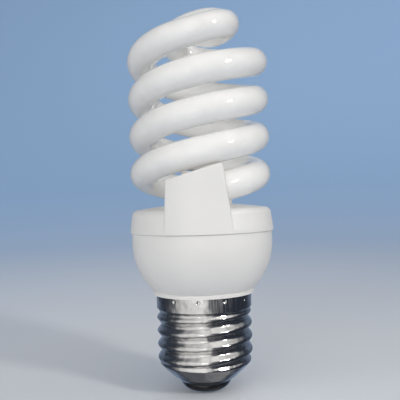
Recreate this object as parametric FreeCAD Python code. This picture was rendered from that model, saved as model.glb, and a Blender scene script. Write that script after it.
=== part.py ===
import FreeCAD, Part
import math
import os

# Spiral compact fluorescent lamp on a 27 mm screw cap, in millimetres.
# The origin is the middle of the centre contact's face and +Z runs up the spiral.
# The front is -Y: one tower of the cover faces it, and the other faces +Y.
# The cover and the tube's centre line repeat themselves after half a turn about Z.

Vector = FreeCAD.Vector
ORIGIN = Vector(0, 0, 0)
UP = Vector(0, 0, 1)
QUARTER_TURN = 0.25

# Screw cap, stacked from the contact's face upwards
CONTACT_R = 3.2
CONTACT_LIP = 0.45
CONTACT_SHANK_R = 1.3
CONTACT_BORE_R = 0.5
BUTTON_HEIGHT = 2.45
BUTTON_FOOT_R = 4.6
BUTTON_BULGE = 0.45
BUTTON_PLUG_HEIGHT = 1.8
BUTTON_R = 7.0
BUTTON_BRIM = 1.4
SHELL_WALL = 0.3
TAPER_HEIGHT = 5.1
TAPER_BULGE = 0.85
THREAD_PITCH = 3.629
THREAD_TURNS = 4
THREAD_RUNOUT = 0.3
THREAD_CREST_R = 13.1
THREAD_DEPTH = 1.0
THREAD_CREST_AT_LEFT = 1.41
FLARE_HEIGHT = 0.6
SKIRT_R = 13.1
SKIRT_LENGTH = 3.8
SKIRT_STEP = 0.05
SKIRT_LAP = 0.5
STAKE_COUNT = 12
STAKE_BALL_R = 0.9
STAKE_DEPTH = 0.2
STAKE_DROP = 1.0
STAKE_TURN = -6.5

# Radius of the lamp's body; the bowl, cover, coil and board take theirs from it
BODY_R = 19.3

# Lower housing
COLLAR_R = 14.0
COLLAR_HEIGHT = 1.3
COLLAR_GROOVE = 0.3
HOUSING_WALL = 1.2
BOWL_FOOT_R = 14.2
BOWL_HEIGHT = 15.5
BOWL_STRAIGHT = 2.7
BOWL_EDGE_BREAK = 0.2
NECK_BORE_R = 10.4
NECK_DEPTH = 12.9
BOARD_DROP = 4.7
RIB_COUNT = 4
RIB_THICKNESS = 1.4
RIB_REACH = 2.6
RIB_HEIGHT = 5.5

# Upper cover
COVER_WALL = 1.2
LIP_PROUD = 0.35
LIP_HEIGHT = 0.9
DRUM_DRAFT = 0.1
DRUM_HEIGHT = 6.3
SHOULDER_R = 1.8
DOME_RISE = 1.3
DOME_HALFWAY = 0.75
PLUG_DEPTH = 2.6
BEAD_HEIGHT = 0.25
TOWER_PROUD = 0.05
TOWER_LEFT = 9.6
TOWER_LEFT_LEAN = 0.9
TOWER_RIGHT = 8.1
TOWER_RIGHT_LEAN = 2.4
TOWER_STEEPER = 0.07
TOWER_DEPTH = 9.85
TOWER_WALL = 1.1
TOWER_GAP = 0.65
TOWER_ROUND = 0.6

# Glass tube
TUBE_D = 7.7
COIL_PROUD = 0.05
COIL_PITCH = 20.42
COIL_TURNS = 2
COIL_LIFT = 10.63
BRIDGE_D = 7.1
BRIDGE_RISE = 4.85
BRIDGE_EASE = 1.8
NECKING_ANGLE = 40
CHAMBER_D = 10.8
CHAMBER_REACH = 10.0
CHAMBER_SHIFT = 3.5
END_INSET = 1.3
END_ANGLE = 100
INSET_FROM_ANGLE = 165
LEG_BEND_R = 7.0
LEG_SEAL_DEPTH = 0.5
SEAL_LENGTH = 2.4
SEAL_R = 2.6

# Board and the parts on it
BOARD_INSET = 2.5
BOARD_THICKNESS = 1.6
LEAD_R = 0.28
LEAD_STUB = 0.6
PIN_SIDE = 0.8
PIN_HEIGHT = 3.0
PIN_SPREAD = 2.1
ELECTRODE_WIRE_R = 0.25
ELECTRODE_SPREAD = 1.3
FEED_WIRE_R = 0.4
FEED_BEND_R = 1.5
NEUTRAL_X = 0.6
NEUTRAL_Y = 6.7
EDGE_SHARE = 0.25

# Main capacitor
MAIN_CAP_R = 5.0
MAIN_CAP_LENGTH = 16.0
MAIN_CAP_X = -4.5
MAIN_CAP_EDGE = 0.5
MAIN_CAP_GROOVE = 0.45
MAIN_CAP_GROOVE_DROP = 2.4
MAIN_CAP_LEAD_PITCH = 5.0

# Choke: an E core pair round a bobbin, with the winding between the bobbin's flanges
CHOKE_X = 5.2
CORE_WIDTH = 11.0
CORE_DEPTH = 5.0
CORE_YOKE = 1.8
CORE_LEG = 3.2
CORE_WINDOW = 5.2
CORE_TOP_DROP = 1.6
BOBBIN_WALL = 0.7
BOBBIN_DEPTH = 8.0
RAIL_WIDTH = 1.4

# Drive transformer: a small ring core on edge, with wire loops round it
RING_OUTER_R = 3.0
RING_INNER_R = 1.5
RING_WIDTH = 2.2
RING_Y = 9.8
LOOP_WIRE = 0.4
LOOP_ANGLES = (30, 54, 78, 102, 126, 150)
LEAD_LOOPS = (78, 102)

# Small parts; those near the board's edge have their places as shares of its radius
TRANSISTOR_R = 2.3
TRANSISTOR_FLAT = 1.3
TRANSISTOR_HEIGHT = 4.6
TRANSISTOR_LEG_PITCH = 1.27
TRANSISTOR_X = 4.5
TRANSISTOR_Y = -9.8
RESONANT_CAP_SIZE = (3.4, 7.2, 6.3)
RESONANT_CAP_X = 0.735
COUPLING_CAP_SIZE = (2.8, 6.4, 5.6)
COUPLING_CAP_X = -0.741
DIODE_R = 1.3
DIODE_LENGTH = 4.6
DIODE_PLACES = ((7.3, 7.6), (-7.3, 7.6), (6.6, 11.0), (-6.6, 11.0))
RESISTOR_R = 0.85
RESISTOR_LENGTH = 3.2
RESISTOR_PLACES = ((0, -0.732, 0), (0.625, -0.405, 57))
DIAC_R = 0.95
DIAC_LENGTH = 3.2
DIAC_PLACE = (0, -0.5, 90)
INDUCTOR_R = 2.0
INDUCTOR_WAIST_R = 1.7
INDUCTOR_FLANGE = 0.8
INDUCTOR_HEIGHT = 5.0
INDUCTOR_PLACE = (-0.548, -0.494)
FUSE_X = 4.5
FUSE_Y = -6.6
FUSE_R = 1.4
FUSE_LENGTH = 7.0
FUSE_DROP = 11.4
FUSE_STUB = 1.0

# Clearances, and how far a cutting shape runs past what it cuts
FIT_GAP = 0.1
GLASS_GAP = 0.25
HOLE_GAP = 0.15
SEAT_GAP = 0.3
CUT_MARGIN = 1.0

# Resolution of the modelled surfaces: control points round a ring, a turn and a pitch
TUBE_RING_POLES = 16
COIL_STEP = 15
BRIDGE_STEP = 20
BEND_STEP = 15
SHELL_RING_POLES = 48
PITCH_ROWS = 12
TAPER_ROWS = 8
LAP_ROWS = (0.0, 0.5, 1.0)

# Heights that follow from the stack
button_z = CONTACT_LIP + BUTTON_HEIGHT
rim_z = button_z + BUTTON_BRIM
thread_z = button_z + TAPER_HEIGHT
thread_top_z = thread_z + THREAD_TURNS * THREAD_PITCH
skirt_z = thread_top_z + FLARE_HEIGHT
collar_z = skirt_z + SKIRT_LENGTH
bowl_z = collar_z + COLLAR_HEIGHT
seam_z = bowl_z + BOWL_HEIGHT
shoulder_z = seam_z + DRUM_HEIGHT
board_z = seam_z - BOARD_DROP - BOARD_THICKNESS
board_top_z = board_z + BOARD_THICKNESS
coil_z = seam_z + COIL_LIFT
seal_z = seam_z - LEG_SEAL_DEPTH

# Radii and slopes that follow from the sizes above
tube_r = TUBE_D / 2
bridge_r = BRIDGE_D / 2
lip_r = BODY_R + LIP_PROUD
drum_top_r = BODY_R - DRUM_DRAFT
coil_r = BODY_R + COIL_PROUD - tube_r
board_r = BODY_R - BOARD_INSET
tower_inner_y = lip_r - TOWER_DEPTH
thread_mean_r = THREAD_CREST_R - THREAD_DEPTH / 2
thread_root_r = THREAD_CREST_R - THREAD_DEPTH
bowl_run = BODY_R - BOWL_FOOT_R
bowl_drop = BOWL_HEIGHT - BOWL_STRAIGHT
bowl_arc_r = (bowl_run**2 + bowl_drop**2) / (2 * bowl_run)
bowl_arc_centre_r = BODY_R - bowl_arc_r
bowl_arc_centre_z = seam_z - BOWL_STRAIGHT
inner_arc_r = bowl_arc_r - HOUSING_WALL
housing_bore_r = BODY_R - HOUSING_WALL
plug_r = housing_bore_r - FIT_GAP
tower_face_r = lip_r + TOWER_PROUD
coil_slope = COIL_PITCH / (2 * math.pi * coil_r)
tower_top_z = coil_z + COIL_PITCH / 2 - tube_r * math.hypot(1, coil_slope) - TOWER_GAP
tower_slope = coil_slope + TOWER_STEEPER
core_top = board_z - CORE_TOP_DROP
window_top = core_top - CORE_YOKE
window_bottom = window_top - CORE_WINDOW
window_width = (CORE_WIDTH - CORE_LEG) / 2 - CORE_YOKE
flange_width = CORE_LEG + 2 * window_width - 2 * SEAT_GAP
sleeve_x = CORE_DEPTH + 2 * (FIT_GAP + BOBBIN_WALL)
sleeve_y = CORE_LEG + 2 * (FIT_GAP + BOBBIN_WALL)
ring_z = board_z - SEAT_GAP - LOOP_WIRE - FIT_GAP - RING_OUTER_R
fuse_top_z = board_z - FUSE_DROP
fuse_bottom_z = fuse_top_z - FUSE_LENGTH

# Holes that the placed parts ask for in the board, as x, y and radius
board_holes = []


# General helpers

def line(start, end):
    return Part.LineSegment(Vector(start[0], 0, start[1]), Vector(end[0], 0, end[1])).toShape()


def arc(start, middle, end):
    points = [Vector(r, 0, z) for r, z in (start, middle, end)]
    return Part.Arc(*points).toShape()


def revolve_edges(edges):
    face = Part.Face(Part.Wire(edges))
    return face.revolve(ORIGIN, UP, 360)


def revolve_points(points):
    corners = points + points[:1]
    return revolve_edges([line(a, b) for a, b in zip(corners, corners[1:])])


def half_turn(shape):
    copy = shape.copy()
    copy.rotate(ORIGIN, UP, 180)
    return copy


def cylinder(radius, bottom, top, x=0.0, y=0.0):
    return Part.makeCylinder(radius, top - bottom, Vector(x, y, bottom), UP)


def centred_box(x_size, y_size, bottom, top):
    corner = Vector(-x_size / 2, -y_size / 2, bottom)
    return Part.makeBox(x_size, y_size, top - bottom, corner)


def fused(shapes):
    return shapes[0].multiFuse(shapes[1:]).removeSplitter()


def smoothstep(share):
    share = min(max(share, 0.0), 1.0)
    return share * share * (3 - 2 * share)


def control_radius(radius, step):
    """Radius at which evenly spaced control points carry a cubic spline of this radius."""
    return radius * 3 / (2 + math.cos(step))


def closed_surface(rings):
    """Smooth solid whose cubic skin is carried by closed rings of control points."""
    rows = len(rings)
    columns = len(rings[0])
    row_knots = list(range(rows - 2))
    row_mults = [4] + [1] * (rows - 4) + [4]
    ring_knots = list(range(columns + 1))
    ring_mults = [1] * (columns + 1)
    surface = Part.BSplineSurface()
    surface.buildFromPolesMultsKnots(
        rings, row_mults, ring_mults, row_knots, ring_knots, False, True, 3, 3)
    skin = surface.toShape()
    rims = [edge for edge in skin.Edges if edge.isClosed()]
    lids = [Part.Face(Part.Wire([rim])) for rim in rims]
    shell = Part.Shell([skin] + lids)
    shell.sewShape()
    solid = Part.Solid(shell)
    if solid.Volume < 0:
        solid.reverse()
    return solid


def wire_along(points, radius, bend_r):
    """Round wire on straight runs joined by tangent arcs."""
    edges = []
    start = points[0]
    for before, corner, after in zip(points, points[1:], points[2:]):
        towards = (before - corner).normalize()
        onwards = (after - corner).normalize()
        half_angle = towards.getAngle(onwards) / 2
        reach = bend_r / math.tan(half_angle)
        bisector = (towards + onwards).normalize()
        middle = corner + bisector * (bend_r / math.sin(half_angle) - bend_r)
        arc_start = corner + towards * reach
        arc_end = corner + onwards * reach
        edges.append(Part.LineSegment(start, arc_start).toShape())
        edges.append(Part.Arc(arc_start, middle, arc_end).toShape())
        start = arc_end
    edges.append(Part.LineSegment(start, points[-1]).toShape())
    path = Part.Wire(edges)
    section = Part.Wire([Part.Circle(points[0], points[1] - points[0], radius).toShape()])
    return path.makePipeShell([section], True, True)


# Glass tube

def coil_radius(angle):
    drawn_in = smoothstep((INSET_FROM_ANGLE - angle) / (INSET_FROM_ANGLE - END_ANGLE))
    return coil_r - END_INSET * drawn_in


def coil_point(angle, radius):
    """Point of the strand whose lowest front is at 90 degrees; angles run left, front, right."""
    turn = math.radians(angle)
    height = coil_z + COIL_PITCH * (angle - 90) / 360
    return Vector(-radius * math.cos(turn), -radius * math.sin(turn), height)


def bridge_centres():
    """From the axis to the top of the strand, half of the S seen from above."""
    top_angle = 90 + 360 * COIL_TURNS
    top = coil_point(top_angle, coil_r)
    steps = 180 // BRIDGE_STEP
    radius = control_radius(coil_r / 2, math.radians(BRIDGE_STEP))
    centres = []
    for i in range(steps):
        left = 1 - i / steps
        turn = math.pi * i / steps
        height = top.z + BRIDGE_RISE * (1 - (1 - left)**BRIDGE_EASE)
        centres.append(Vector(radius * math.sin(turn), -coil_r / 2 + radius * math.cos(turn), height))
    centres[0] = Vector(0, 0, top.z + BRIDGE_RISE)
    return centres


def bridge_radii(count, side):
    """Radii from the axis outwards; the chamber sits a little to the front half's side."""
    step = math.pi * coil_r / 2 / count
    grow = CHAMBER_D / 2 - bridge_r
    offsets = [abs(side * i * step - CHAMBER_SHIFT) for i in range(count)]
    return [bridge_r + grow * smoothstep(1 - offset / CHAMBER_REACH) for offset in offsets]


def coil_angles():
    top_angle = 90 + 360 * COIL_TURNS
    steps = round((top_angle - END_ANGLE) / COIL_STEP)
    return [top_angle - i * (top_angle - END_ANGLE) / steps for i in range(steps + 1)]


def coil_centres():
    scale = control_radius(1, math.radians(COIL_STEP))
    return [coil_point(angle, coil_radius(angle) * scale) for angle in coil_angles()]


def coil_radii():
    """The tube narrows a little where it leaves the coil for the bridge."""
    angles = coil_angles()
    narrowed = [smoothstep(1 - (angles[0] - angle) / NECKING_ANGLE) for angle in angles]
    return [tube_r - (tube_r - bridge_r) * share for share in narrowed]


def leg_centres():
    """From the coil's lowest point the tube bends down into a straight leg."""
    start = coil_point(END_ANGLE, coil_radius(END_ANGLE))
    first = math.atan(coil_slope)
    steps = int((90 - math.degrees(first)) // BEND_STEP)
    centres = []
    for i in range(1, steps + 1):
        turn = first + (math.pi / 2 - first) * i / steps
        along = LEG_BEND_R * (math.sin(turn) - math.sin(first))
        down = LEG_BEND_R * (math.cos(first) - math.cos(turn))
        centres.append(start + Vector(-along, 0, -down))
    leg = centres[-1]
    straight = leg.z - seal_z - SEAL_LENGTH
    for share in (0.5, 1.0):
        centres.append(Vector(leg.x, leg.y, leg.z - straight * share))
    for share in (0.5, 1.0):
        centres.append(Vector(leg.x, leg.y, seal_z + SEAL_LENGTH * (1 - share)))
    return centres


def seal_place():
    return leg_centres()[-1]


def tube_solid(centres, radii):
    """Round tube over a line of centres, with its rings carried along without twist."""
    ring_step = 2 * math.pi / TUBE_RING_POLES
    rings = []
    normal = Vector(1, 0, 0)
    for i, centre in enumerate(centres):
        ahead = centres[min(i + 1, len(centres) - 1)]
        behind = centres[max(i - 1, 0)]
        tangent = (ahead - behind).normalize()
        normal = (normal - tangent * normal.dot(tangent)).normalize()
        side = tangent.cross(normal)
        radius = control_radius(radii[i], ring_step)
        ring = []
        for j in range(TUBE_RING_POLES):
            turn = ring_step * j
            ring.append(centre + normal * (radius * math.cos(turn)) + side * (radius * math.sin(turn)))
        rings.append(ring)
    return closed_surface(rings)


def half_tube_line(side):
    """Centres of the front half of the tube, with the radii of the front (1) or rear (-1) half."""
    bridge = bridge_centres()
    leg = leg_centres()
    radii = bridge_radii(len(bridge), side) + coil_radii() + [tube_r] * (len(leg) - 1) + [SEAL_R]
    return bridge + coil_centres() + leg, radii


def make_spiral_tube():
    centres, front_radii = half_tube_line(1)
    rear_radii = half_tube_line(-1)[1]
    rear = [Vector(-c.x, -c.y, c.z) for c in centres[1:]]
    return tube_solid(rear[::-1] + centres, rear_radii[:0:-1] + front_radii)


def tube_end(gap):
    """Leg and first part of the front strand, made larger by a gap, to cut its way with."""
    centres, radii = half_tube_line(1)
    bent = len(leg_centres()) + 180 // COIL_STEP
    return tube_solid(centres[-bent:], [radius + gap for radius in radii[-bent:]])


# Cover

def drum_outer():
    crown = (0, shoulder_z + DOME_RISE)
    edge_r = drum_top_r - SHOULDER_R
    edge = (edge_r, shoulder_z)
    between = (edge_r / 2, shoulder_z + DOME_HALFWAY * DOME_RISE)
    bend = SHOULDER_R * (1 - math.sqrt(0.5))
    side = (drum_top_r, shoulder_z - SHOULDER_R)
    lip_top = (lip_r, seam_z + LIP_HEIGHT)
    bead_z = seam_z - PLUG_DEPTH / 2
    corners = [
        side, lip_top, (lip_r, seam_z), (plug_r, seam_z), (plug_r, bead_z + 2 * BEAD_HEIGHT),
        (plug_r + BEAD_HEIGHT, bead_z), (plug_r, bead_z - 2 * BEAD_HEIGHT),
        (plug_r, seam_z - PLUG_DEPTH), (0, seam_z - PLUG_DEPTH), crown]
    edges = [arc(crown, between, edge), arc(edge, (drum_top_r - bend, shoulder_z - bend), side)]
    edges += [line(a, b) for a, b in zip(corners, corners[1:])]
    return revolve_edges(edges)


def drum_inner():
    side_r = plug_r - COVER_WALL
    floor_z = seam_z - PLUG_DEPTH
    ceiling_z = shoulder_z - COVER_WALL
    crown = (0, ceiling_z + DOME_RISE)
    shoulder = (side_r, ceiling_z - SHOULDER_R / 2)
    top_edge = (side_r - SHOULDER_R / 2, ceiling_z)
    between = (top_edge[0] / 2, ceiling_z + DOME_HALFWAY * DOME_RISE)
    edges = [
        arc(crown, between, top_edge), line(top_edge, shoulder), line(shoulder, (side_r, floor_z)),
        line((side_r, floor_z), (0, floor_z)), line((0, floor_z), crown)]
    return revolve_edges(edges)


def tower_block(inset, bottom_z):
    """Tapered block under the strand above, with its outer face on the drum's lip circle."""
    height = tower_top_z - seam_z
    level = tower_top_z - inset * math.hypot(1, tower_slope)
    left = (-TOWER_LEFT, TOWER_LEFT_LEAN / height, inset)
    right = (TOWER_RIGHT, -TOWER_RIGHT_LEAN / height, -inset)
    feet = []
    tops = []
    for seam_x, lean, shift in (left, right):
        side_x = seam_x + shift * math.hypot(1, lean)
        top_x = (side_x + lean * (level - seam_z)) / (1 - lean * tower_slope)
        feet.append((side_x + lean * (bottom_z - seam_z), bottom_z))
        tops.append((top_x, level + tower_slope * top_x))
    outer_r = tower_face_r - inset
    depth = outer_r - tower_inner_y - inset + CUT_MARGIN
    corners = [Vector(x, -outer_r - CUT_MARGIN, z) for x, z in feet + tops[::-1]]
    block = Part.Face(Part.makePolygon(corners + corners[:1])).extrude(Vector(0, depth, 0))
    highest = tops[1][1]
    return block.common(cylinder(outer_r, bottom_z - CUT_MARGIN, highest + CUT_MARGIN))


def rounded_tower():
    block = tower_block(0, seam_z)
    edges = [edge for edge in block.Edges if edge.BoundBox.ZMax > seam_z + TOWER_ROUND]
    return block.makeFillet(TOWER_ROUND, edges)


def make_top_cover():
    tower = rounded_tower()
    hollow = tower_block(TOWER_WALL, seam_z - PLUG_DEPTH)
    glass = tube_end(GLASS_GAP)
    body = fused([drum_outer(), tower, half_turn(tower)])
    body = body.cut(drum_inner())
    for tool in (hollow, glass):
        body = body.cut(tool).cut(half_turn(tool))
    return body


def make_cement():
    """Collar of cement round the front leg, inside its tower."""
    bottom = shoulder_z - COVER_WALL
    slab = cylinder(lip_r, bottom, shoulder_z + 2 * DOME_RISE)
    room = tower_block(TOWER_WALL + FIT_GAP, seam_z)
    return room.common(slab).cut(tube_end(FIT_GAP))


# Lower housing

def bowl_inner_r(z):
    drop = max(bowl_arc_centre_z - z, 0)
    return bowl_arc_centre_r + math.sqrt(inner_arc_r**2 - drop**2)


def arc_point(radius, share):
    """Point of an arc about the bowl's centre, from its level (0) down to the foot's angle (1)."""
    angle = share * math.asin(bowl_drop / bowl_arc_r)
    return (bowl_arc_centre_r + radius * math.cos(angle), bowl_arc_centre_z - radius * math.sin(angle))


def housing_shell():
    neck_r = thread_root_r - SHELL_WALL - FIT_GAP
    skirt_neck_r = SKIRT_R - SHELL_WALL - FIT_GAP
    neck_z = collar_z - NECK_DEPTH
    bore_run = NECK_BORE_R - bowl_arc_centre_r
    bore_z = bowl_arc_centre_z - math.sqrt(inner_arc_r**2 - bore_run**2)
    bore_angle = math.acos(bore_run / inner_arc_r)
    inner_middle = (
        bowl_arc_centre_r + inner_arc_r * math.cos(bore_angle / 2),
        bowl_arc_centre_z - inner_arc_r * math.sin(bore_angle / 2))
    top = (BODY_R, bowl_arc_centre_z)
    foot = (BOWL_FOOT_R, bowl_z)
    inner_top = (housing_bore_r, bowl_arc_centre_z)
    bead_z = seam_z - PLUG_DEPTH / 2
    bead = BEAD_HEIGHT + FIT_GAP
    outside = [
        foot, (COLLAR_R - COLLAR_GROOVE, bowl_z - COLLAR_GROOVE), (COLLAR_R, bowl_z - 2 * COLLAR_GROOVE),
        (COLLAR_R, collar_z), (skirt_neck_r, collar_z), (skirt_neck_r, skirt_z + SKIRT_LAP),
        (neck_r, thread_top_z), (neck_r, neck_z), (NECK_BORE_R, neck_z), (NECK_BORE_R, bore_z)]
    inside = [
        inner_top, (housing_bore_r, bead_z - 2 * bead), (housing_bore_r + bead, bead_z),
        (housing_bore_r, bead_z + 2 * bead), (housing_bore_r, seam_z),
        (BODY_R - BOWL_EDGE_BREAK, seam_z), (BODY_R, seam_z - BOWL_EDGE_BREAK), top]
    edges = [arc(top, arc_point(bowl_arc_r, 0.5), foot)]
    edges += [line(a, b) for a, b in zip(outside, outside[1:])]
    edges.append(arc(outside[-1], inner_middle, inner_top))
    edges += [line(a, b) for a, b in zip(inside, inside[1:])]
    return revolve_edges(edges)


def board_ribs():
    """Ribs on the bowl's wall whose tops carry the board."""
    reach_r = bowl_inner_r(board_z) - RIB_REACH
    outer_r = BODY_R - HOUSING_WALL / 2
    bottom = board_z - RIB_HEIGHT
    ribs = []
    for i in range(RIB_COUNT):
        corner = Vector(reach_r, -RIB_THICKNESS / 2, bottom)
        rib = Part.makeBox(outer_r - reach_r, RIB_THICKNESS, RIB_HEIGHT, corner)
        rib.rotate(ORIGIN, UP, 360 * (i + 0.5) / RIB_COUNT)
        ribs.append(rib)
    heights = (board_z, board_z - RIB_HEIGHT / 2, bottom)
    curve = [(bowl_inner_r(z) + HOUSING_WALL / 2, z) for z in heights]
    inside = revolve_edges([
        arc(*curve), line(curve[-1], (0, bottom)), line((0, bottom), (0, board_z)),
        line((0, board_z), curve[0])])
    return [rib.common(inside) for rib in ribs]


def make_base_housing():
    return fused([housing_shell()] + board_ribs())


# Screw cap

def taper_r(z):
    """Radius of the cap's taper, which the insulator's brim carries on below the shell's rim."""
    share = (z - button_z) / TAPER_HEIGHT
    return BUTTON_R + (thread_mean_r - BUTTON_R) * share**TAPER_BULGE


def shell_rows(inset):
    """Height, mean radius and thread share of each ring of the shell's skin."""
    rows = []
    for i in range(TAPER_ROWS):
        z = rim_z + (thread_z - rim_z) * i / TAPER_ROWS
        rows.append((z, taper_r(z), 0.0))
    count = THREAD_TURNS * PITCH_ROWS
    for i in range(count + 1):
        from_end = min(i, count - i) / PITCH_ROWS
        share = smoothstep(from_end / THREAD_RUNOUT)
        rows.append((thread_z + THREAD_PITCH * i / PITCH_ROWS, thread_mean_r, share))
    for share in LAP_ROWS:
        rows.append((skirt_z + SKIRT_LAP * share, SKIRT_R - SKIRT_STEP, 0.0))
    return [(z, radius - inset, share) for z, radius, share in rows]


def thread_skin(inset):
    column_step = 2 * math.pi / SHELL_RING_POLES
    amplitude = control_radius(THREAD_DEPTH / 2, 2 * math.pi / PITCH_ROWS)
    crest_z = thread_z + THREAD_CREST_AT_LEFT * THREAD_PITCH
    rings = []
    for z, mean_r, share in shell_rows(inset):
        ring = []
        for j in range(SHELL_RING_POLES):
            turn = column_step * j
            crest_turn = math.pi + 2 * math.pi * (z - crest_z) / THREAD_PITCH
            radius = control_radius(mean_r, column_step)
            radius += amplitude * share * math.cos(turn - crest_turn)
            ring.append(Vector(radius * math.cos(turn), radius * math.sin(turn), z))
        rings.append(ring)
    return closed_surface(rings)


def shell_form(inset):
    """Plain skirt, lapped over the upper end of the thread, with the taper below."""
    skirt = cylinder(SKIRT_R - inset, skirt_z, collar_z)
    return skirt.fuse(thread_skin(inset))


def make_screw_shell():
    shell = shell_form(0).cut(shell_form(SHELL_WALL))
    stake_z = collar_z - STAKE_DROP
    reach = SKIRT_R - STAKE_DEPTH + STAKE_BALL_R
    balls = []
    for i in range(STAKE_COUNT):
        turn = math.radians(STAKE_TURN + 360 * i / STAKE_COUNT)
        place = Vector(reach * math.cos(turn), reach * math.sin(turn), stake_z)
        balls.append(Part.makeSphere(STAKE_BALL_R, place))
    return shell.cut(Part.makeCompound(balls))


def make_cap_insulator():
    hole_r = CONTACT_SHANK_R + FIT_GAP
    plug_r = taper_r(rim_z) - SHELL_WALL - FIT_GAP
    plug_top = rim_z + BUTTON_PLUG_HEIGHT
    foot = (BUTTON_FOOT_R, CONTACT_LIP)
    brim = (BUTTON_R, button_z)
    run = BUTTON_R - BUTTON_FOOT_R
    chord = math.hypot(run, BUTTON_HEIGHT)
    bulge = (
        BUTTON_FOOT_R + run / 2 + BUTTON_BULGE * BUTTON_HEIGHT / chord,
        CONTACT_LIP + BUTTON_HEIGHT / 2 - BUTTON_BULGE * run / chord)
    corners = [
        brim, (taper_r(rim_z), rim_z), (plug_r, rim_z), (plug_r, plug_top), (hole_r, plug_top),
        (hole_r, CONTACT_LIP), foot]
    edges = [arc(foot, bulge, brim)] + [line(a, b) for a, b in zip(corners, corners[1:])]
    return revolve_edges(edges)


def contact_top():
    return rim_z + BUTTON_PLUG_HEIGHT + SEAT_GAP


def make_centre_contact():
    flat_r = CONTACT_R - CONTACT_LIP
    bend = CONTACT_LIP * (1 - math.sqrt(0.5))
    bore_floor = CONTACT_LIP
    corners = [
        (CONTACT_R, CONTACT_LIP), (CONTACT_SHANK_R, CONTACT_LIP), (CONTACT_SHANK_R, contact_top()),
        (CONTACT_BORE_R, contact_top()), (CONTACT_BORE_R, bore_floor), (0, bore_floor), (0, 0), (flat_r, 0)]
    edges = [arc((flat_r, 0), (CONTACT_R - bend, bend), (CONTACT_R, CONTACT_LIP))]
    edges += [line(a, b) for a, b in zip(corners, corners[1:])]
    return revolve_edges(edges)


# Parts on the board: each is made about its own middle, with z = 0 on the board's underside

def on_board(body, leads, x, y, angle=0.0):
    """Hangs a part under the board, with its leads through holes of their own."""
    lead_top = BOARD_THICKNESS + LEAD_STUB
    wires = [cylinder(LEAD_R, bottom, lead_top, lead_x, lead_y) for lead_x, lead_y, bottom in leads]
    part = fused([body] + wires)
    part.rotate(ORIGIN, UP, angle)
    part.translate(Vector(x, y, board_z))
    turn = FreeCAD.Rotation(UP, angle)
    for lead_x, lead_y, bottom in leads:
        place = turn.multVec(Vector(lead_x, lead_y, 0))
        board_holes.append((x + place.x, y + place.y, LEAD_R + HOLE_GAP))
    return part


def from_shares(x_share, y_share):
    return x_share * board_r, y_share * board_r


def axial_part(radius, length, x, y, angle=0.0):
    """Lying round body with a bent lead at each end."""
    axis_z = -radius - SEAT_GAP
    half_span = length / 2 + 2 * LEAD_R
    along = Vector(1, 0, 0)
    body = Part.makeCylinder(radius, length, Vector(-length / 2, 0, axis_z), along)
    body = body.makeFillet(radius * EDGE_SHARE, body.Edges)
    lead = Part.makeCylinder(LEAD_R, 2 * half_span, Vector(-half_span, 0, axis_z), along)
    ends = [Part.makeSphere(LEAD_R, Vector(side * half_span, 0, axis_z)) for side in (-1, 1)]
    leads = [(side * half_span, 0, axis_z) for side in (-1, 1)]
    return on_board(fused([body, lead] + ends), leads, x, y, angle)


def film_capacitor(size, x_share):
    thickness, width, height = size
    body = centred_box(thickness, width, -height, 0)
    upright = [edge for edge in body.Edges if edge.BoundBox.ZMin < -SEAT_GAP]
    body = body.makeFillet(thickness * EDGE_SHARE, upright)
    leads = [(0, side * width / 3, -SEAT_GAP) for side in (-1, 1)]
    return on_board(body, leads, *from_shares(x_share, 0))


def transistor(x):
    """Three-legged moulded body with one flat side."""
    radius = TRANSISTOR_R
    bottom = -SEAT_GAP - TRANSISTOR_HEIGHT
    body = cylinder(radius, bottom, -SEAT_GAP)
    corner = Vector(-radius, TRANSISTOR_FLAT, bottom)
    flat = Part.makeBox(2 * radius, radius, TRANSISTOR_HEIGHT, corner)
    leads = [(TRANSISTOR_LEG_PITCH * i, 0, -2 * SEAT_GAP) for i in (-1, 0, 1)]
    return on_board(body.cut(flat), leads, x, TRANSISTOR_Y)


def make_main_capacitor():
    edge = MAIN_CAP_EDGE
    groove = MAIN_CAP_GROOVE
    groove_z = -MAIN_CAP_GROOVE_DROP
    top = -SEAT_GAP
    bottom = top - MAIN_CAP_LENGTH
    body = revolve_points([
        (0, top), (MAIN_CAP_R - edge, top), (MAIN_CAP_R, top - edge), (MAIN_CAP_R, groove_z + groove),
        (MAIN_CAP_R - groove, groove_z), (MAIN_CAP_R, groove_z - groove), (MAIN_CAP_R, bottom + edge),
        (MAIN_CAP_R - edge, bottom), (0, bottom)])
    leads = [(0, side * MAIN_CAP_LEAD_PITCH / 2, -edge) for side in (-1, 1)]
    return on_board(body, leads, MAIN_CAP_X, 0)


def at_choke(shape):
    shape.translate(Vector(CHOKE_X, 0, 0))
    return shape


def make_choke_core():
    core = centred_box(CORE_DEPTH, CORE_WIDTH, window_bottom - CORE_YOKE, core_top)
    for side in (-1, 1):
        window = centred_box(CORE_DEPTH, window_width, window_bottom, window_top)
        window.translate(Vector(0, side * (CORE_LEG + window_width) / 2, 0))
        core = core.cut(window)
    return at_choke(core)


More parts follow.
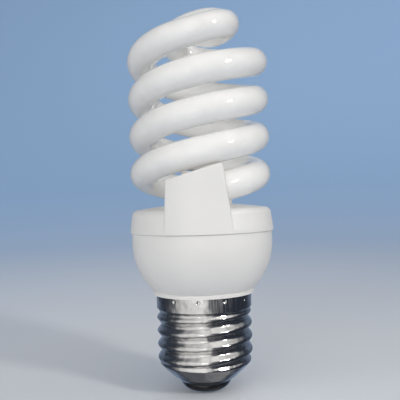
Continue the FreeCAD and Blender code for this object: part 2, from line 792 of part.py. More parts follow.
def make_choke_bobbin():
    upper = window_top - FIT_GAP
    lower = window_bottom + FIT_GAP
    pieces = [
        centred_box(BOBBIN_DEPTH, flange_width, upper - BOBBIN_WALL, upper),
        centred_box(BOBBIN_DEPTH, flange_width, lower, lower + BOBBIN_WALL),
        centred_box(sleeve_x, sleeve_y, lower, upper)]
    rail_x = (BOBBIN_DEPTH - RAIL_WIDTH) / 2
    for side in (-1, 1):
        rail = centred_box(RAIL_WIDTH, flange_width, upper - BOBBIN_WALL, board_z)
        rail.translate(Vector(side * rail_x, 0, 0))
        pieces.append(rail)
        for lead_y in (-flange_width / 3, flange_width / 3):
            pieces.append(cylinder(LEAD_R, upper, board_top_z + LEAD_STUB, side * rail_x, lead_y))
            board_holes.append((CHOKE_X + side * rail_x, lead_y, LEAD_R + HOLE_GAP))
    slot = centred_box(CORE_DEPTH + 2 * FIT_GAP, CORE_LEG + 2 * FIT_GAP, lower, upper)
    return at_choke(fused(pieces).cut(slot))


def make_choke_winding():
    upper = window_top - 2 * FIT_GAP - BOBBIN_WALL
    lower = window_bottom + 2 * FIT_GAP + BOBBIN_WALL
    outer = centred_box(BOBBIN_DEPTH, flange_width, lower, upper)
    upright = [edge for edge in outer.Edges if edge.BoundBox.ZLength > FIT_GAP]
    outer = outer.makeFillet(BOBBIN_WALL, upright)
    inner = centred_box(sleeve_x + 2 * FIT_GAP, sleeve_y + 2 * FIT_GAP, lower, upper)
    return at_choke(outer.cut(inner))


def stand_ring(shape):
    shape.rotate(ORIGIN, Vector(1, 0, 0), 90)
    shape.translate(Vector(0, RING_Y, ring_z))
    return shape


def make_drive_core():
    half = RING_WIDTH / 2
    ring = cylinder(RING_OUTER_R, -half, half).cut(cylinder(RING_INNER_R, -half, half))
    return stand_ring(ring)


def drive_loop(angle):
    thickness = RING_OUTER_R - RING_INNER_R
    hole_x = thickness + 2 * FIT_GAP
    hole_z = RING_WIDTH / 2 + FIT_GAP
    outer = centred_box(hole_x + 2 * LOOP_WIRE, LOOP_WIRE, -hole_z - LOOP_WIRE, hole_z + LOOP_WIRE)
    loop = outer.cut(centred_box(hole_x, LOOP_WIRE, -hole_z, hole_z))
    loop.translate(Vector((RING_OUTER_R + RING_INNER_R) / 2, 0, 0))
    loop.rotate(ORIGIN, UP, angle)
    return stand_ring(loop)


def make_drive_windings():
    loops = []
    for angle in LOOP_ANGLES:
        loop = drive_loop(angle)
        if angle in LEAD_LOOPS:
            reach = RING_OUTER_R + FIT_GAP + LOOP_WIRE / 2
            x = reach * math.cos(math.radians(angle))
            root_z = ring_z + reach * math.sin(math.radians(angle))
            lead = cylinder(LOOP_WIRE / 2, root_z, board_top_z + LEAD_STUB, x, RING_Y)
            board_holes.append((x, RING_Y, LOOP_WIRE / 2 + HOLE_GAP))
            loop = fused([loop, lead])
        loops.append(loop)
    return Part.makeCompound(loops)


def make_input_inductor():
    """Drum core with its winding in the waist."""
    top = -SEAT_GAP
    bottom = top - INDUCTOR_HEIGHT
    under_top = top - INDUCTOR_FLANGE
    over_bottom = bottom + INDUCTOR_FLANGE
    drum = revolve_points([
        (0, top), (INDUCTOR_R, top), (INDUCTOR_R, under_top), (INDUCTOR_WAIST_R, under_top),
        (INDUCTOR_WAIST_R, over_bottom), (INDUCTOR_R, over_bottom), (INDUCTOR_R, bottom), (0, bottom)])
    leads = [(side * INDUCTOR_R / 2, 0, -INDUCTOR_FLANGE) for side in (-1, 1)]
    return on_board(drum, leads, *from_shares(*INDUCTOR_PLACE))


def make_rectifier_diodes():
    return Part.makeCompound([axial_part(DIODE_R, DIODE_LENGTH, *place) for place in DIODE_PLACES])


def make_resistors():
    resistors = []
    for x_share, y_share, angle in RESISTOR_PLACES:
        resistors.append(axial_part(RESISTOR_R, RESISTOR_LENGTH, *from_shares(x_share, y_share), angle))
    return Part.makeCompound(resistors)


def make_diac():
    x_share, y_share, angle = DIAC_PLACE
    return axial_part(DIAC_R, DIAC_LENGTH, *from_shares(x_share, y_share), angle)


# Feed from the cap

def make_fuse_resistor():
    """Upright resistor in the live feed, hung in the neck by its own lead."""
    body = cylinder(FUSE_R, fuse_bottom_z, fuse_top_z, FUSE_X, FUSE_Y)
    body = body.makeFillet(FUSE_R * EDGE_SHARE, body.Edges)
    lead = cylinder(LEAD_R, fuse_bottom_z - FUSE_STUB, board_top_z + LEAD_STUB, FUSE_X, FUSE_Y)
    board_holes.append((FUSE_X, FUSE_Y, LEAD_R + HOLE_GAP))
    return fused([body, lead])


def make_live_lead():
    """From the fuse's lower lead to the bottom of the contact's bore."""
    start = Vector(FUSE_X, FUSE_Y, fuse_bottom_z - FUSE_STUB)
    turn_z = (start.z + contact_top()) / 2
    points = [
        start, Vector(FUSE_X, FUSE_Y, turn_z + FUSE_STUB), Vector(0, 0, turn_z - FUSE_STUB),
        Vector(0, 0, CONTACT_LIP)]
    return wire_along(points, FEED_WIRE_R, FEED_BEND_R)


def make_neutral_lead():
    """Down the neck and out under its edge to a hollow of the shell's thread."""
    crest_at_back = thread_z + (THREAD_CREST_AT_LEFT - QUARTER_TURN) * THREAD_PITCH
    end_z = crest_at_back - THREAD_PITCH / 2
    while end_z > collar_z - NECK_DEPTH - FEED_WIRE_R:
        end_z -= THREAD_PITCH
    end_y = thread_root_r - SHELL_WALL - SEAT_GAP
    points = [
        Vector(NEUTRAL_X, NEUTRAL_Y, board_top_z + LEAD_STUB), Vector(NEUTRAL_X, NEUTRAL_Y, end_z),
        Vector(NEUTRAL_X, end_y, end_z)]
    board_holes.append((NEUTRAL_X, NEUTRAL_Y, FEED_WIRE_R + HOLE_GAP))
    return wire_along(points, FEED_WIRE_R, FEED_BEND_R)


def make_wrap_pins():
    place = seal_place()
    pins = []
    for side in (-1, 1):
        pin = centred_box(PIN_SIDE, PIN_SIDE, board_z - PIN_SIDE, board_top_z + PIN_HEIGHT)
        x = place.x + side * PIN_SPREAD
        pin.translate(Vector(x, place.y, 0))
        pins += [pin, half_turn(pin)]
        hole_r = PIN_SIDE * math.sqrt(0.5) + HOLE_GAP
        board_holes.append((x, place.y, hole_r))
        board_holes.append((-x, -place.y, hole_r))
    return Part.makeCompound(pins)


def make_electrode_leads():
    """Two wires from the front leg's sealed end to the board, beside their pins."""
    place = seal_place()
    wires = []
    for side in (-1, 1):
        x = place.x + side * ELECTRODE_SPREAD
        wires.append(cylinder(ELECTRODE_WIRE_R, board_top_z, seal_z, x, place.y))
    return Part.makeCompound(wires)


def make_ballast_board():
    board = cylinder(board_r, board_z, board_top_z)
    holes = [cylinder(radius, board_z, board_top_z, x, y) for x, y, radius in board_holes]
    return board.cut(Part.makeCompound(holes))


def build():
    cement = make_cement()
    electrode_leads = make_electrode_leads()
    nodes = {
        "spiral_tube": make_spiral_tube(),
        "top_cover": make_top_cover(),
        "base_housing": make_base_housing(),
        "screw_shell": make_screw_shell(),
        "cap_insulator": make_cap_insulator(),
        "centre_contact": make_centre_contact(),
        "tube_cement_front": cement,
        "tube_cement_rear": half_turn(cement),
        "electrode_leads_front": electrode_leads,
        "electrode_leads_rear": half_turn(electrode_leads),
        "wrap_pins": make_wrap_pins(),
        "main_capacitor": make_main_capacitor(),
        "choke_core": make_choke_core(),
        "choke_bobbin": make_choke_bobbin(),
        "choke_winding": make_choke_winding(),
        "drive_core": make_drive_core(),
        "drive_windings": make_drive_windings(),
        "transistor_right": transistor(TRANSISTOR_X),
        "transistor_left": transistor(-TRANSISTOR_X),
        "rectifier_diodes": make_rectifier_diodes(),
        "resonant_capacitor": film_capacitor(RESONANT_CAP_SIZE, RESONANT_CAP_X),
        "coupling_capacitor": film_capacitor(COUPLING_CAP_SIZE, COUPLING_CAP_X),
        "diac": make_diac(),
        "resistors": make_resistors(),
        "input_inductor": make_input_inductor(),
        "fuse_resistor": make_fuse_resistor(),
        "live_lead": make_live_lead(),
        "neutral_lead": make_neutral_lead(),
    }
    nodes["ballast_board"] = make_ballast_board()
    return nodes


def main():
    os.makedirs("parts", exist_ok=True)
    for name, shape in build().items():
        shape.exportStep(os.path.join("parts", name + ".step"))
        print(name, len(shape.Solids), round(shape.Volume, 2), shape.isValid())


main()
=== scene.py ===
import math

import bpy
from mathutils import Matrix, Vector


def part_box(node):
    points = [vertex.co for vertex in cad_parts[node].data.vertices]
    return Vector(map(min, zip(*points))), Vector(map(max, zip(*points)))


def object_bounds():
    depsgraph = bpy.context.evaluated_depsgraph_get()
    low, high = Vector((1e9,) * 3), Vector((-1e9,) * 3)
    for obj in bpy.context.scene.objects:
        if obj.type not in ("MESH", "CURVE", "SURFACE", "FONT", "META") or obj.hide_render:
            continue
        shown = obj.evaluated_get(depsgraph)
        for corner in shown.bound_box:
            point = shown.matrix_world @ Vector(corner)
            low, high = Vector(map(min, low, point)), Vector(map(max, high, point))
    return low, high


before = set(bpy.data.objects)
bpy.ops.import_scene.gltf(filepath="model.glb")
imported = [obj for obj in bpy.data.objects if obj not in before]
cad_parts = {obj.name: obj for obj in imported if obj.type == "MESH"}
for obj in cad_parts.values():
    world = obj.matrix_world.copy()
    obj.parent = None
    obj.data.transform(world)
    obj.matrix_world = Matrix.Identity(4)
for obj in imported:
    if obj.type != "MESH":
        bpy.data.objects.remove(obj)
cad_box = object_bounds()
middle = (cad_box[0] + cad_box[1]) / 2

# Camera fitted to the photograph: level, close to the lamp, and a little rolled
CAMERA_PLACE = (-0.0003, -0.1606, 0.0523)
CAMERA_LENS = 52.0
CAMERA_SENSOR = 36.0
CAMERA_NEAR = 0.005
CAMERA_ROLL = math.radians(1.7)

LIGHT_COLOUR = (1.0, 0.975, 0.94)

# Small lights that show in the gloss: azimuth (0 is the camera's side, 90 is +X), elevation,
# width, height and power; angles are in degrees and lengths in metres
KEYS = {
    "key": (49, 22, 0.075, 0.09, 0.105),
    "second_key": (-10, 1, 0.08, 0.04, 0.005),
}
KEY_DISTANCE = 0.50
KEY_SPREAD = 60

# Large soft lights that the gloss doesn't show: azimuth, elevation and power
FILLS = {
    "front_fill": (-20, 14, 0.98),
    "left_fill": (-72, 8, 1.40),
    "right_fill": (90, 8, 0.62),
    "rear_fill": (175, 25, 0.80),
}
FILL_DISTANCE = 1.6
FILL_SIDE = 1.2
FILL_SPREAD = 70

# Light that the real glass passes on into the middle of the coil
COIL_GLOW_HEIGHTS = (0.058, 0.072, 0.086)
COIL_GLOW_POWER = 0.0007
COIL_GLOW_R = 0.003

# Panels of light round the lamp: a colour, a fade by azimuth and a fade by elevation, in degrees
STUDIO_DARK = (0.026, 0.032, 0.046)
STUDIO_PANELS = {
    "front_tent": (
        (1.25, 1.24, 1.22),
        [(-112, 0.0), (-92, 0.03), (-76, 0.18), (-64, 0.50), (-45, 0.76),
         (-6, 1.0), (5, 0.85), (14, 0.18), (32, 0.07), (46, 0.0)],
        [(-90, 0.20), (-72, 0.26), (-60, 0.45), (-48, 0.85), (38, 1.0), (44, 0.5),
         (52, 0.75), (72, 0.8), (85, 0.2)]),
    "tent_top_at_right": (
        (1.25, 1.24, 1.22),
        [(6, 0.0), (18, 0.85), (60, 0.75), (85, 0.5), (115, 0.25), (150, 0.1), (172, 0.0)],
        [(28, 0.0), (38, 1.0), (75, 1.0), (85, 0.3)]),
    "backdrop": (
        (0.45, 0.58, 0.80),
        [(-178, 0.9), (-168, 0.75), (-152, 0.42), (-128, 0.12), (-112, 0.0),
         (112, 0.0), (128, 0.12), (152, 0.42), (168, 0.75), (178, 0.9)],
        [(-50, 0.0), (-35, 0.8), (50, 1.0), (65, 0.0)]),
    "floor_behind": (
        (0.40, 0.40, 0.41),
        [(-120, 0.4), (-90, 0.0), (80, 0.0), (125, 1.0), (178, 0.5)],
        [(-89, 0.9), (-60, 0.7), (-48, 0.0)]),
}

# Share of a panel's light by the value of a noise
PANEL_UNEVENNESS = [(0.35, 0.60), (0.65, 1.0)]

# Stage: radii of the flat floor's rows, its bend and its wall, in metres
FLOOR_ROWS = (0.001, 0.1, 0.5)
BEND_R = 0.5
BEND_STEPS = 24
WALL_TOP = 2.2
STAGE_SIDES = 96

# Colours of the stage by distance from the lamp's axis, and the most that a noise adds to it, in metres
STAGE_FADE = [(0.10, (0.74, 0.76, 0.79)), (0.78, (0.34, 0.54, 0.84))]
STAGE_UNEVENNESS = 0.05

# Heights used to tell a part's tinned leads from its body, in metres
BOARD_TOP = 0.0390
BOARD_UNDERSIDE = 0.0374
SLEEVE_TOP = BOARD_UNDERSIDE - 0.0002
BODIES_TOP = BOARD_UNDERSIDE - 0.0003
FUSE_TOP = BOARD_UNDERSIDE - 0.0114

# Colours of bare metal on the ballast's parts
TINNED = (0.70, 0.69, 0.67)
ALUMINIUM = (0.72, 0.72, 0.73)
COPPER_TRACK = (0.62, 0.36, 0.14)

# Board's tracks, which fill the cells of a net: distances from a cell's edge where copper starts and
# where its relief levels off, in cells, and how far upward a face points to carry them
TRACK_START = 0.12
TRACK_RELIEF = 0.14
TRACK_FACING = 0.5

# Depth of the capacitor's stripe from its side, in metres, and how far up or down its ends point
STRIPE_DEPTH = 0.0009
CAN_END_FACING = 0.9

# Start and end of the diodes' pale bands, in metres from the plane x = 0
DIODE_BAND = (0.0084, 0.0091)

# Value of the wave above which a resistor has a dark ring
RESISTOR_RING = 0.75

# Height where the screw cap's plain skirt starts above its thread
SKIRT_FOOT = 0.0232

# Fade of the scuffed patch on the skirt's front, by x in metres
SCUFF_ACROSS = [(0.0015, 0.0), (0.0030, 1.0), (0.0062, 1.0), (0.0090, 0.0)]

# Shares of slow waves and of fine marks in the nickel's relief
NICKEL_WAVES = 7.0
NICKEL_MARKS = 0.15

# Values of a noise that most of it lies between
NOISE_LOW, NOISE_HIGH = 0.3, 0.7

# Places of the colour sockets on a mix node
MIX_FIRST, MIX_SECOND, MIX_RESULT = 6, 7, 2


class Textures:
    """Texture nodes of one node tree, all fed from one set of coordinates."""

    def __init__(self, tree, coordinates):
        self.nodes = tree.nodes
        self.links = tree.links
        self.place = self.nodes.new("ShaderNodeTexCoord").outputs[coordinates]

    def join(self, value, socket):
        """Links an output to a socket, or sets the socket to a plain value."""
        if isinstance(value, bpy.types.NodeSocket):
            self.links.new(value, socket)
        else:
            socket.default_value = value

    def noise(self, scale, detail, stretch=(1, 1, 1), roughness=0.5):
        mapping = self.nodes.new("ShaderNodeMapping")
        mapping.inputs["Scale"].default_value = stretch
        self.links.new(self.place, mapping.inputs["Vector"])
        texture = self.nodes.new("ShaderNodeTexNoise")
        texture.inputs["Scale"].default_value = scale
        texture.inputs["Detail"].default_value = detail
        texture.inputs["Roughness"].default_value = roughness
        self.links.new(mapping.outputs["Vector"], texture.inputs["Vector"])
        return texture.outputs["Fac"]

    def cell_edges(self, scale):
        """Distance from the edges between cells."""
        texture = self.nodes.new("ShaderNodeTexVoronoi")
        texture.feature = "DISTANCE_TO_EDGE"
        texture.inputs["Scale"].default_value = scale
        self.links.new(self.place, texture.inputs["Vector"])
        return texture.outputs["Distance"]

    def bands(self, scale, axis, distortion=0.0):
        texture = self.nodes.new("ShaderNodeTexWave")
        texture.bands_direction = axis
        texture.inputs["Scale"].default_value = scale
        texture.inputs["Distortion"].default_value = distortion
        self.links.new(self.place, texture.inputs["Vector"])
        return texture.outputs["Fac"]

    def ramp(self, source, stops):
        """Colours by a texture's value; each stop is a position and a grey or a colour."""
        node = self.nodes.new("ShaderNodeValToRGB")
        elements = node.color_ramp.elements
        while len(elements) < len(stops):
            elements.new(0.5)
        for element, (position, colour) in zip(elements, stops):
            element.position = position
            if isinstance(colour, (int, float)):
                colour = (colour, colour, colour)
            element.color = (*colour, 1.0)
        self.links.new(source, node.inputs["Fac"])
        return node.outputs["Color"]

    def shade(self, source, low, high):
        """A noise spread from one grey or colour to another."""
        return self.ramp(source, [(NOISE_LOW, low), (NOISE_HIGH, high)])

    def calc(self, operation, first, second=0.0):
        node = self.nodes.new("ShaderNodeMath")
        node.operation = operation
        self.join(first, node.inputs[0])
        self.join(second, node.inputs[1])
        return node.outputs["Value"]

    def axis(self, name):
        node = self.nodes.new("ShaderNodeSeparateXYZ")
        self.links.new(self.place, node.inputs["Vector"])
        return node.outputs[name]

    def mix(self, share, first, second):
        """Colour or value that goes from the first to the second by a share."""
        node = self.nodes.new("ShaderNodeMix")
        node.data_type = "RGBA"
        self.join(share, node.inputs["Factor"])
        for value, place in ((first, MIX_FIRST), (second, MIX_SECOND)):
            self.join((*value, 1.0) if isinstance(value, tuple) else value, node.inputs[place])
        return node.outputs[MIX_RESULT]


class Look(Textures):
    """A procedural material: one principled shader and the textures that feed it."""

    def __init__(self, name, **constants):
        self.material = bpy.data.materials.new(name)
        self.material.use_nodes = True
        super().__init__(self.material.node_tree, "Object")
        self.shader = self.nodes["Principled BSDF"]
        for socket, value in constants.items():
            self.shader.inputs[socket.replace("_", " ")].default_value = value

    def feed(self, socket, source):
        self.links.new(source, self.shader.inputs[socket])

    def facing(self, name):
        """How far the surface faces along an axis."""
        normal = self.nodes.new("ShaderNodeNewGeometry").outputs["Normal"]
        node = self.nodes.new("ShaderNodeSeparateXYZ")
        self.links.new(normal, node.inputs["Vector"])
        return node.outputs[name]

    def bump(self, height, strength, distance):
        node = self.nodes.new("ShaderNodeBump")
        node.inputs["Strength"].default_value = strength
        node.inputs["Distance"].default_value = distance
        self.links.new(height, node.inputs["Height"])
        self.feed("Normal", node.outputs["Normal"])

    def tinned_above(self, height, colour):
        """The body's colour below a height, and bare tinned wire above it."""
        above = self.calc("GREATER_THAN", self.axis("Z"), height)
        self.feed("Metallic", above)
        self.feed("Base Color", self.mix(above, colour, TINNED))


def tube_glass():
    look = Look("glass_over_white_lining", Roughness=0.55,
                Coat_Weight=1.0, Coat_Roughness=0.04, Coat_IOR=1.5)
    lining = look.noise(scale=260, detail=4)
    look.feed("Base Color", look.shade(lining, (0.84, 0.835, 0.82), (0.89, 0.885, 0.87)))
    look.bump(look.noise(scale=60, detail=2), strength=0.03, distance=0.0004)
    return look.material


def white_plastic():
    look = Look("moulded_white_plastic", IOR=1.5)
    tone = look.noise(scale=70, detail=5)
    look.feed("Base Color", look.shade(tone, (0.745, 0.738, 0.722), (0.785, 0.778, 0.762)))
    look.feed("Roughness", look.shade(look.noise(scale=500, detail=4), 0.36, 0.46))
    look.bump(look.noise(scale=2600, detail=3), strength=0.10, distance=0.00008)
    return look.material


def nickel():
    """Bright plate with marks of rolling and drawing, and a scuffed patch on the skirt's front."""
    look = Look("polished_nickel", Metallic=1.0)
    stain = look.noise(scale=160, detail=5)
    look.feed("Base Color", look.shade(stain, (0.73, 0.72, 0.71), (0.82, 0.81, 0.80)))
    rolling = look.noise(scale=1.0, detail=4, stretch=(60, 60, 5200))
    drawing = look.noise(scale=1.0, detail=4, stretch=(3400, 3400, 60))
    on_skirt = look.calc("GREATER_THAN", look.axis("Z"), SKIRT_FOOT)
    marks = look.mix(on_skirt, rolling, drawing)
    scuff = look.calc("MULTIPLY", look.ramp(look.axis("X"), SCUFF_ACROSS), on_skirt)
    scuff = look.calc("MULTIPLY", scuff, look.calc("LESS_THAN", look.axis("Y"), 0.0))
    polished = look.ramp(marks, [(0.36, 0.08), (0.74, 0.27)])
    scuffed = look.ramp(drawing, [(0.35, 0.10), (0.70, 0.45)])
    look.feed("Roughness", look.mix(scuff, polished, scuffed))
    waves = look.calc("MULTIPLY", look.noise(scale=170, detail=2), NICKEL_WAVES)
    fine = look.calc("MULTIPLY", marks, NICKEL_MARKS)
    look.bump(look.calc("ADD", waves, fine), strength=0.30, distance=0.0003)
    return look.material


def black_glass():
    look = Look("black_pressed_glass", IOR=1.52, Coat_Weight=0.3, Coat_Roughness=0.03)
    flow = look.noise(scale=350, detail=3, stretch=(1, 1, 3))
    look.feed("Base Color", look.shade(flow, (0.008, 0.008, 0.010), (0.020, 0.020, 0.022)))
    look.feed("Roughness", look.shade(flow, 0.08, 0.16))
    look.bump(flow, strength=0.08, distance=0.0001)
    return look.material


def contact_tin():
    look = Look("tinned_contact", Metallic=1.0)
    grain = look.noise(scale=1400, detail=5)
    look.feed("Base Color", look.shade(grain, (0.56, 0.54, 0.50), (0.74, 0.72, 0.68)))
    look.feed("Roughness", look.shade(grain, 0.22, 0.42))
    look.bump(grain, strength=0.25, distance=0.0001)
    return look.material


def cement():
    look = Look("set_cement", Roughness=0.92)
    grain = look.noise(scale=1200, detail=6, roughness=0.7)
    look.feed("Base Color", look.shade(grain, (0.70, 0.68, 0.62), (0.84, 0.82, 0.77)))
    look.bump(grain, strength=0.6, distance=0.0003)
    return look.material


def laminate():
    """Fibrous board with copper tracks on its upper side."""
    look = Look("paper_laminate_board", Roughness=0.5)
    fibre = look.noise(scale=1.0, detail=5, stretch=(300, 2400, 2400))
    fibre = look.shade(fibre, (0.42, 0.29, 0.13), (0.56, 0.42, 0.21))
    edges = look.cell_edges(scale=260)
    tracks = look.calc("GREATER_THAN", edges, TRACK_START)
    upper = look.calc("GREATER_THAN", look.facing("Z"), TRACK_FACING)
    look.feed("Base Color", look.mix(look.calc("MULTIPLY", tracks, upper), fibre, COPPER_TRACK))
    look.bump(look.calc("MINIMUM", edges, TRACK_RELIEF), strength=0.4, distance=0.0002)
    return look.material


def tinned_wire():
    look = Look("tinned_wire", Metallic=1.0)
    draw = look.noise(scale=1.0, detail=3, stretch=(4000, 4000, 300))
    look.feed("Base Color", look.shade(draw, (0.62, 0.61, 0.59), (0.75, 0.74, 0.72)))
    look.feed("Roughness", look.shade(draw, 0.22, 0.40))
    look.bump(draw, strength=0.15, distance=0.00005)
    return look.material


def capacitor_sleeve():
    """Dark sleeve with a pale stripe, and bare metal at the can's ends and on its leads."""
    look = Look("capacitor_sleeve", Roughness=0.32)
    wrinkle = look.noise(scale=700, detail=3, stretch=(1, 1, 0.3))
    sleeve = look.shade(wrinkle, (0.018, 0.022, 0.040), (0.030, 0.036, 0.060))
    lowest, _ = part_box("main_capacitor")
    stripe = look.calc("LESS_THAN", look.axis("X"), lowest.x + STRIPE_DEPTH)
    sleeve = look.mix(stripe, sleeve, (0.45, 0.46, 0.48))
    end = look.calc("GREATER_THAN", look.calc("ABSOLUTE", look.facing("Z")), CAN_END_FACING)
    above = look.calc("GREATER_THAN", look.axis("Z"), SLEEVE_TOP)
    bare = look.calc("MAXIMUM", end, above)
    look.feed("Base Color", look.mix(bare, sleeve, ALUMINIUM))
    look.feed("Metallic", bare)
    look.bump(wrinkle, strength=0.2, distance=0.0001)
    return look.material


def ferrite():
    look = Look("fired_ferrite", Roughness=0.7)
    grain = look.noise(scale=3000, detail=5, roughness=0.7)
    tones = [(NOISE_LOW, (0.035, 0.034, 0.036)), (0.75, (0.085, 0.083, 0.085))]
    look.feed("Base Color", look.ramp(grain, tones))
    look.bump(grain, strength=0.4, distance=0.0001)
    return look.material


def bobbin_plastic(name, height):
    look = Look(name)
    grain = look.noise(scale=1500, detail=4)
    look.feed("Roughness", look.shade(grain, 0.42, 0.60))
    look.tinned_above(height, look.shade(grain, (0.045, 0.045, 0.047), (0.075, 0.075, 0.078)))
    look.bump(grain, strength=0.2, distance=0.0001)
    return look.material


def wound_copper(name, axis, scale):
    look = Look(name, Coat_Weight=0.6, Coat_Roughness=0.12, Metallic=0.6, Roughness=0.35)
    wires = look.bands(scale, axis, distortion=0.4)
    # Painted shade: the copper turns dark where the bands sink into the grooves between turns, the same
    # low places as in the bump, over the wire's own copper tone
    tones = [(0.1, (0.16, 0.05, 0.015)), (0.6, (0.52, 0.21, 0.07))]
    look.feed("Base Color", look.ramp(wires, tones))
    look.bump(wires, strength=0.7, distance=0.0001)
    return look.material


def dark_epoxy(name, band=None):
    """Moulded black body, with a pale band between two distances from x = 0 where they are given."""
    look = Look(name)
    grain = look.noise(scale=2600, detail=5)
    body = look.shade(grain, (0.016, 0.016, 0.017), (0.034, 0.034, 0.035))
    if band:
        outward = look.calc("ABSOLUTE", look.axis("X"))
        past_start = look.calc("GREATER_THAN", outward, band[0])
        before_end = look.calc("LESS_THAN", outward, band[1])
        body = look.mix(look.calc("MULTIPLY", past_start, before_end), body, (0.60, 0.60, 0.59))
    look.feed("Roughness", look.shade(grain, 0.45, 0.65))
    look.tinned_above(BODIES_TOP, body)
    look.bump(grain, strength=0.25, distance=0.0001)
    return look.material


def dipped_resin(name, dark, light):
    look = Look(name, Coat_Weight=0.4, Coat_Roughness=0.08)
    flow = look.noise(scale=420, detail=4)
    look.feed("Roughness", look.shade(flow, 0.25, 0.38))
    look.tinned_above(BOARD_UNDERSIDE, look.shade(flow, dark, light))
    look.bump(flow, strength=0.25, distance=0.0003)
    return look.material


def resistor_body(name, axis, scale, height):
    look = Look(name, Coat_Weight=0.3, Coat_Roughness=0.15)
    grain = look.noise(scale=1800, detail=4)
    body = look.shade(grain, (0.52, 0.40, 0.25), (0.64, 0.52, 0.35))
    ring = look.calc("GREATER_THAN", look.bands(scale, axis), RESISTOR_RING)
    look.feed("Roughness", look.shade(grain, 0.40, 0.55))
    look.tinned_above(height, look.mix(ring, body, (0.22, 0.06, 0.02)))
    look.bump(grain, strength=0.2, distance=0.0001)
    return look.material


def wire_insulation():
    look = Look("wire_insulation")
    grain = look.noise(scale=1.0, detail=4, stretch=(900, 900, 200))
    look.feed("Base Color", look.shade(grain, (0.66, 0.66, 0.64), (0.76, 0.76, 0.74)))
    look.feed("Roughness", look.shade(grain, 0.45, 0.60))
    look.bump(grain, strength=0.2, distance=0.0001)
    return look.material


def dress(material, *names):
    for name in names:
        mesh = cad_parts[name].data
        mesh.materials.clear()
        mesh.materials.append(material)


def dress_lamp():
    dress(tube_glass(), "spiral_tube")
    dress(white_plastic(), "top_cover", "base_housing")
    dress(nickel(), "screw_shell")
    dress(black_glass(), "cap_insulator")
    dress(contact_tin(), "centre_contact")


def dress_ballast():
    dress(cement(), "tube_cement_front", "tube_cement_rear")
    dress(tinned_wire(), "electrode_leads_front", "electrode_leads_rear", "wrap_pins")
    dress(laminate(), "ballast_board")
    dress(capacitor_sleeve(), "main_capacitor")
    dress(ferrite(), "choke_core", "drive_core")
    dress(bobbin_plastic("choke_bobbin_plastic", BOARD_TOP), "choke_bobbin")
    dress(bobbin_plastic("inductor_core", BODIES_TOP), "input_inductor")
    dress(wound_copper("choke_copper", "Z", scale=620), "choke_winding")
    dress(wound_copper("drive_copper", "Y", scale=500), "drive_windings")
    dress(dark_epoxy("transistor_epoxy"), "transistor_left", "transistor_right")
    dress(dark_epoxy("diode_epoxy", DIODE_BAND), "rectifier_diodes")
    dress(dipped_resin("red_resin", (0.24, 0.04, 0.015), (0.36, 0.07, 0.03)), "resonant_capacitor")
    dress(dipped_resin("green_resin", (0.03, 0.14, 0.05), (0.05, 0.22, 0.09)), "coupling_capacitor")
    dress(dipped_resin("blue_lacquer", (0.03, 0.06, 0.24), (0.06, 0.10, 0.36)), "diac")
    dress(resistor_body("resistor_lacquer", "X", scale=300, height=BODIES_TOP), "resistors")
    dress(resistor_body("fuse_lacquer", "Z", scale=160, height=FUSE_TOP), "fuse_resistor")
    dress(wire_insulation(), "live_lead", "neutral_lead")


def pale_paper():
    """Paper that is pale round the lamp and turns blue outwards."""
    look = Look("pale_paper", Roughness=0.9,
                Emission_Color=(0.52, 0.68, 0.92, 1.0), Emission_Strength=0.06)
    x_square = look.calc("POWER", look.axis("X"), 2.0)
    y_square = look.calc("POWER", look.axis("Y"), 2.0)
    outward = look.calc("SQRT", look.calc("ADD", x_square, y_square))
    uneven = look.calc("MULTIPLY", look.noise(scale=4, detail=4), STAGE_UNEVENNESS)
    look.feed("Base Color", look.ramp(look.calc("ADD", outward, uneven), STAGE_FADE))
    return look.material


def turned_sheet(name, profile, material):
    """Sheet of the stage that is turned about the lamp's axis, from its radii and heights."""
    points = []
    for radius, height in profile:
        for i in range(STAGE_SIDES):
            turn = 2 * math.pi * i / STAGE_SIDES
            points.append((radius * math.cos(turn), radius * math.sin(turn), height))
    faces = []
    for row in range(len(profile) - 1):
        for i in range(STAGE_SIDES):
            first = row * STAGE_SIDES + i
            last = row * STAGE_SIDES + (i + 1) % STAGE_SIDES
            faces.append((first, last, last + STAGE_SIDES, first + STAGE_SIDES))
    mesh = bpy.data.meshes.new(name)
    mesh.from_pydata(points, [], faces)
    mesh.polygons.foreach_set("use_smooth", [True] * len(faces))
    mesh.materials.append(material)
    sheet = bpy.data.objects.new(name, mesh)
    bpy.context.scene.collection.objects.link(sheet)
    sheet.visible_glossy = False
    return sheet


def make_stage():
    """Pale floor that curves up into a backdrop on all sides, which lets the studio's light in."""
    paper = pale_paper()
    turned_sheet("studio_floor", [(radius, 0.0) for radius in FLOOR_ROWS], paper)
    floor_r = FLOOR_ROWS[-1]
    profile = []
    for i in range(BEND_STEPS + 1):
        turn = math.pi / 2 * i / BEND_STEPS
        profile.append((floor_r + BEND_R * math.sin(turn), BEND_R * (1 - math.cos(turn))))
    profile.append((floor_r + BEND_R, WALL_TOP))
    wall = turned_sheet("studio_wall", profile, paper)
    wall.visible_diffuse = False
    wall.visible_shadow = False


def make_camera():
    data = bpy.data.cameras.new("camera")
    data.lens = CAMERA_LENS
    data.sensor_width = CAMERA_SENSOR
    data.clip_start = CAMERA_NEAR
    camera = bpy.data.objects.new("camera", data)
    camera.location = CAMERA_PLACE
    camera.rotation_euler = (math.pi / 2, CAMERA_ROLL, 0.0)
    bpy.context.scene.collection.objects.link(camera)
    bpy.context.scene.camera = camera


def from_angles(azimuth, elevation, distance):
    """A place round the lamp's middle; azimuth 0 is the camera's side, and 90 is +X."""
    turn, rise = math.radians(azimuth), math.radians(elevation)
    level = distance * math.cos(rise)
    across = Vector((level * math.sin(turn), -level * math.cos(turn), 0.0))
    return middle + across + Vector((0.0, 0.0, distance * math.sin(rise)))


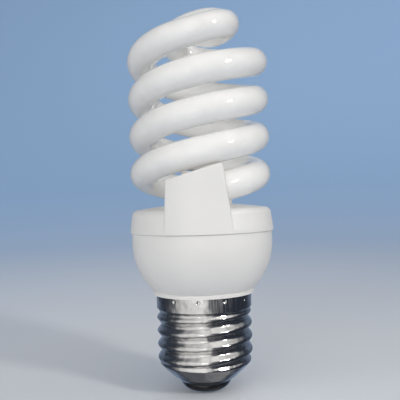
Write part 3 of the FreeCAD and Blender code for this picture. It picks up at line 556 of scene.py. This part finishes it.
def place_light(data, place):
    """Light at a place, unseen by the camera, with its -Z side turned to the lamp's middle."""
    light = bpy.data.objects.new(data.name, data)
    light.location = place
    light.rotation_mode = "QUATERNION"
    light.rotation_quaternion = (middle - place).to_track_quat("-Z", "Y")
    light.visible_camera = False
    bpy.context.scene.collection.objects.link(light)
    return light


def area_light(name, place, size, power, spread):
    data = bpy.data.lights.new(name, "AREA")
    data.shape = "RECTANGLE"
    data.size, data.size_y = size
    data.energy = power
    data.spread = math.radians(spread)
    data.color = LIGHT_COLOUR
    return place_light(data, place)


def coil_glow(name, height):
    data = bpy.data.lights.new(name, "POINT")
    data.energy = COIL_GLOW_POWER
    data.shadow_soft_size = COIL_GLOW_R
    return place_light(data, Vector((0.0, 0.0, height)))


def make_lights():
    for name, (azimuth, elevation, width, height, power) in KEYS.items():
        place = from_angles(azimuth, elevation, KEY_DISTANCE)
        area_light(name, place, (width, height), power, KEY_SPREAD)
    for name, (azimuth, elevation, power) in FILLS.items():
        place = from_angles(azimuth, elevation, FILL_DISTANCE)
        fill = area_light(name, place, (FILL_SIDE, FILL_SIDE), power, FILL_SPREAD)
        fill.visible_glossy = False
    for i, height in enumerate(COIL_GLOW_HEIGHTS):
        glow = coil_glow("coil_glow_%d" % i, height)
        glow.visible_glossy = False


def by_degrees(stops, reach):
    """Ramp stops for an angle that runs from minus to plus its reach over the ramp."""
    return [((angle + reach) / (2 * reach), value) for angle, value in stops]


def make_world():
    """The studio round the lamp: dark, with a few soft, uneven panels of light."""
    world = bpy.data.worlds.new("studio")
    world.use_nodes = True
    studio = Textures(world.node_tree, "Generated")
    towards_camera = studio.calc("MULTIPLY", studio.axis("Y"), -1.0)
    turn = studio.calc("ARCTAN2", studio.axis("X"), towards_camera)
    turn = studio.calc("ADD", studio.calc("DIVIDE", turn, 2 * math.pi), 0.5)
    rise = studio.calc("ARCSINE", studio.axis("Z"))
    rise = studio.calc("ADD", studio.calc("DIVIDE", rise, math.pi), 0.5)
    uneven = studio.ramp(studio.noise(scale=5, detail=3), PANEL_UNEVENNESS)
    colour = STUDIO_DARK
    for light, across, upward in STUDIO_PANELS.values():
        across = studio.ramp(turn, by_degrees(across, 180))
        upward = studio.ramp(rise, by_degrees(upward, 90))
        panel = studio.calc("MULTIPLY", across, upward)
        colour = studio.mix(studio.calc("MULTIPLY", panel, uneven), colour, light)
    studio.links.new(colour, studio.nodes["Background"].inputs["Color"])
    bpy.context.scene.world = world
    bpy.context.scene.view_settings.view_transform = "Standard"


dress_lamp()
dress_ballast()
make_stage()
make_camera()
make_lights()
make_world()
